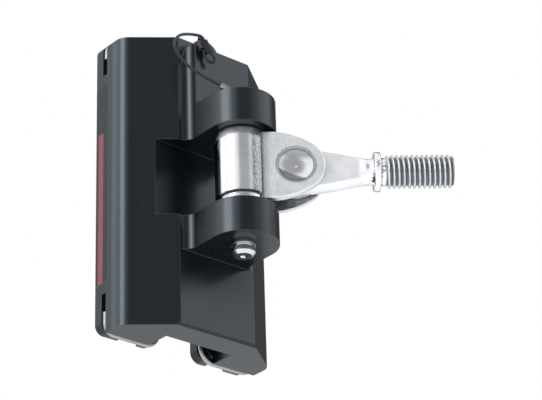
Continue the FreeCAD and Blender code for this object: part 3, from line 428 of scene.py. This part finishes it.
MATERIALS = {
    "black_anodised": black_anodised(),
    "black_plastic": black_plastic("black_plastic", (0.012, 0.0135, 0.015), 0.3),
    "bush_plastic": black_plastic("bush_plastic", (0.03, 0.03, 0.03), 0.5),
    "ball_plastic": black_plastic("ball_plastic", (0.02, 0.02, 0.021), 0.3),
    "label_film": side_film("label_film", 0.36),
    "red_stripe": side_film("red_stripe", 0.4),
    "polished_steel": plain_steel("polished_steel", (0.90, 0.905, 0.915), 0.13, 0.05, 700, 0.05),
    "toggle_steel": toggle_steel(),
    "pin_steel": pin_steel(),
    "thread_steel": thread_steel(),
    "turned_steel": plain_steel("turned_steel", (0.72, 0.725, 0.74), 0.2, 0.06, (300, 300, 4000), 0.1),
    "eye_steel": plain_steel("eye_steel", (0.30, 0.31, 0.33), 0.3, 0.06, 600, 0.1),
    "wire_steel": plain_steel("wire_steel", (0.42, 0.42, 0.405), 0.45, 0.07, 2000, 0.1),
    "coated_wire": black_plastic("coated_wire", (0.02, 0.022, 0.025), 0.3),
    "shrink_sleeve": black_plastic("shrink_sleeve", (0.012, 0.012, 0.013), 0.5),
}

OWN_LOOKS = {"toggle": "toggle_steel", "stud_pin": "pin_steel", "lanyard_eye": "eye_steel"}


def dress(thing, material):
    """Give a piece one material on every face."""
    thing.data.materials.clear()
    thing.data.materials.append(material)


for name, node in NODES.items():
    dress(node, MATERIALS[OWN_LOOKS.get(name, SLOTS[name])])


# Lanyard: a coated wire from the tab to the eye under the pin's head, by the CAD wire's own points

WIRE_DIAMETER = 0.9 * MM
ROUTE = [
    (28.82, -9.20, 44.60), (28.82, -9.84, 45.50), (27.90, -9.60, 47.00), (26.30, -8.50, 47.50),
    (25.20, -7.65, 46.80), (25.20, -7.50, 45.00), (25.20, -7.65, 42.70), (27.75, -7.90, 42.60),
    (27.90, -7.70, 40.40), (28.60, -7.10, 38.70), (29.35, -5.75, 38.10), (29.80, -5.05, 39.50),
    (29.78, -6.34, 40.60), (29.78, -9.95, 45.66), (29.85, -12.0, 45.40), (29.90, -15.20, 44.60),
    (30.10, -19.30, 42.80), (30.40, -21.70, 38.90), (30.80, -20.40, 35.00), (31.50, -17.00, 32.00),
    (32.60, -13.90, 30.10), (34.68, -11.34, 27.85), (36.72, -8.77, 25.88),
]


def make_lanyard():
    """A stiff coated wire along the route, as one cord."""
    curve = bpy.data.curves.new("lanyard_wire", "CURVE")
    curve.dimensions = "3D"
    curve.bevel_depth = WIRE_DIAMETER / 2
    curve.bevel_resolution = 5
    curve.resolution_u = 10
    curve.use_fill_caps = True
    spline = curve.splines.new("NURBS")
    spline.points.add(len(ROUTE) - 1)
    for point, place in zip(spline.points, ROUTE):
        point.co = (*(MM * number for number in place), 1)
    spline.order_u = 3
    spline.use_endpoint_u = True
    wire = add_object("lanyard_wire", curve)
    curve.materials.append(MATERIALS["coated_wire"])
    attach(wire, "car")
    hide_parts("lanyard")


make_lanyard()


# Stud: the CAD stud up to the end of its relief, and from there a real screw thread

def thread_radius(turns):
    """Radius of the thread at a phase: a narrow crest, straight flanks and a narrow root."""
    from_crest = abs((turns + 0.5) % 1 - 0.5)
    rise = min(max((FLANK_FOOT - from_crest) / (FLANK_FOOT - FLANK_TOP), 0), 1)
    return THREAD_ROOT + (THREAD_CREST - THREAD_ROOT) * rise


def grow_column(bm, turn, start, rows):
    """One column of vertices at an angle, whose rows climb with the helix between the thread's ends."""
    length = THREAD_END - THREAD_START
    outward = STUD_SIDE * math.cos(turn) + UPRIGHT * math.sin(turn)
    column = []
    vert = start
    before = 0
    for row in range(rows + 1):
        height = THREAD_PITCH * (turn / FULL_TURN + row / ROWS_PER_TURN - 1)
        height = min(max(height, 0), length)
        if height > 0 and before < length:
            radius = min(thread_radius(height / THREAD_PITCH - turn / FULL_TURN),
                         END_RADIUS + min(height, length - height))
            vert = bm.verts.new(STUD_ORIGIN + STUD_AXIS * (THREAD_START + height) + outward * radius)
        column.append(vert)
        before = height
    return column


def grow_thread(bm, ring):
    """Grow the thread from a ring of vertices, with the last column meeting the first a pitch on."""
    rows = math.ceil((THREAD_END - THREAD_START) / THREAD_PITCH + 1) * ROWS_PER_TURN
    columns = [grow_column(bm, turn, start, rows) for turn, start in sorted(ring, key=lambda item: item[0])]
    first = columns[0]
    columns.append(first[ROWS_PER_TURN:] + first[-1:] * ROWS_PER_TURN)
    for one, other in zip(columns, columns[1:]):
        for row in range(rows):
            corners = list(dict.fromkeys((one[row], other[row], other[row + 1], one[row + 1])))
            if len(corners) > 2:
                bm.faces.new(corners)
    bm.faces.new([column[-1] for column in columns[:-1]])


def make_threaded_stud():
    """The CAD stud cut off where its thread starts, with the thread grown from the rim of the cut."""
    bm = bmesh.new()
    bm.from_mesh(NODES["stud"].data)
    bmesh.ops.remove_doubles(bm, verts=bm.verts, dist=WELD_DISTANCE)
    place = {vert: vert.co - STUD_ORIGIN for vert in bm.verts}
    beyond = [vert for vert, spot in place.items() if spot.dot(STUD_AXIS) > THREAD_START + SLACK]
    ring = [(math.atan2(spot.dot(UPRIGHT), spot.dot(STUD_SIDE)) % FULL_TURN, vert)
            for vert, spot in place.items() if abs(spot.dot(STUD_AXIS) - THREAD_START) < SLACK]
    bmesh.ops.delete(bm, geom=beyond, context="VERTS")
    grow_thread(bm, ring)
    bmesh.ops.recalc_face_normals(bm, faces=bm.faces)
    for face in bm.faces:
        face.smooth = True
    mesh = bpy.data.meshes.new("threaded_stud")
    bm.to_mesh(mesh)
    bm.free()
    mesh.set_sharp_from_angle(angle=math.radians(SHARP_ANGLE))
    stud = add_object("threaded_stud", mesh)
    stud.modifiers.new("flat_faces_stay_flat", "WEIGHTED_NORMAL").keep_sharp = True
    dress(stud, MATERIALS["thread_steel"])
    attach(stud, "stud")
    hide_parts("stud")


make_threaded_stud()


# Studio: a pale floor far below, soft lamps and a white surround with dim and bright parts

FLOOR_REACH = 3.0
FLOOR_LEVEL = -0.55

# Each part of the surround: the azimuth and elevation of its middle, the cosines where it starts and
# is whole, and its brightness
SURROUND = (
    ((115, 27), (0.62, 0.93), 0.14),
    ((-27, 27), (0.88, 0.972), 0.42),
    ((54, 27), (0.80, 0.96), 1.9),
    ((-139, 27), (0.84, 0.97), 1.35),
)


def make_floor():
    """A pale floor that glossy surfaces see as lit."""
    corners = [(x * FLOOR_REACH, y * FLOOR_REACH, FLOOR_LEVEL)
               for x, y in ((-1, -1), (1, -1), (1, 1), (-1, 1))]
    mesh = bpy.data.meshes.new("floor")
    mesh.from_pydata(corners, [], [(0, 1, 2, 3)])
    floor = add_object("floor", mesh)
    look = Look("pale_floor", (0.8, 0.8, 0.8), 0.0, 0.7)
    look.set("Emission Strength", look.node("LightPath").outputs["Is Glossy Ray"])
    look.set("Emission Color", (0.5, 0.52, 0.54, 1))
    floor.data.materials.append(look.material)


def make_lamp(name, place, target, size, power, in_gloss):
    """A rectangular lamp that faces a target, seen in glossy surfaces or not."""
    data = bpy.data.lights.new(name, "AREA")
    data.shape = "RECTANGLE"
    data.size, data.size_y = size
    data.energy = power
    lamp = add_object(name, data)
    lamp.location = place
    lamp.rotation_mode = "QUATERNION"
    lamp.rotation_quaternion = (Vector(target) - Vector(place)).to_track_quat("-Z", "Y")
    lamp.visible_camera = False
    lamp.visible_glossy = in_gloss


def surround_strength(tree):
    """Brightness of the surround towards each direction."""
    toward = add_node(tree, "TexCoord", None, {}).outputs["Generated"]
    level = 1.0
    for angles, (start, end), share in SURROUND:
        near = add_node(tree, "VectorMath", {"operation": "DOT_PRODUCT"}, {0: toward, 1: direction(*angles)})
        part = add_node(tree, "MapRange", {"interpolation_type": "SMOOTHSTEP"}, {
            "Value": near.outputs["Value"], "From_Min": start, "From_Max": end, "To_Min": 1.0,
            "To_Max": share})
        product = add_node(tree, "Math", {"operation": "MULTIPLY"}, {0: level, 1: part.outputs["Result"]})
        level = product.outputs["Value"]
    return level


def make_world():
    """White for the camera, the surround in glossy and clear surfaces, and a plain fill elsewhere."""
    world = bpy.data.worlds.new("studio")
    bpy.context.scene.world = world
    world.use_nodes = True
    tree = world.node_tree
    tree.nodes.clear()
    rays = add_node(tree, "LightPath", None, {})
    mirrored = add_node(tree, "Math", {"operation": "MAXIMUM"}, {
        0: rays.outputs["Is Glossy Ray"], 1: rays.outputs["Is Transmission Ray"]})
    backdrop = add_node(tree, "Background", None, {"Color": (1, 1, 1, 1), "Strength": 1.0})
    surround = add_node(tree, "Background", None, {
        "Color": (0.97, 0.985, 1, 1), "Strength": surround_strength(tree)})
    fill = add_node(tree, "Background", None, {"Color": (0.95, 0.97, 1, 1), "Strength": 0.6})
    unseen = add_node(tree, "MixShader", None, {
        0: mirrored.outputs["Value"], 1: fill.outputs["Background"], 2: surround.outputs["Background"]})
    mix = add_node(tree, "MixShader", None, {
        0: rays.outputs["Is Camera Ray"], 1: unseen.outputs["Shader"], 2: backdrop.outputs["Background"]})
    add_node(tree, "OutputWorld", None, {"Surface": mix.outputs["Shader"]})


make_floor()
make_lamp("left_softbox", place=(-0.15, -0.9, 0.3), target=(0, 0, 0), size=(0.5, 1.0), power=1.5,
          in_gloss=False)
make_lamp("left_strip", place=(0.07, -0.91, 0.42), target=(0, 0, 0), size=(0.46, 1.0), power=3.7,
          in_gloss=True)
make_lamp("front_softbox", place=(0.9, 0.35, 0.55), target=(0.02, 0, 0), size=(0.7, 0.7), power=4,
          in_gloss=False)
make_world()

bpy.context.scene.view_settings.view_transform = "Standard"
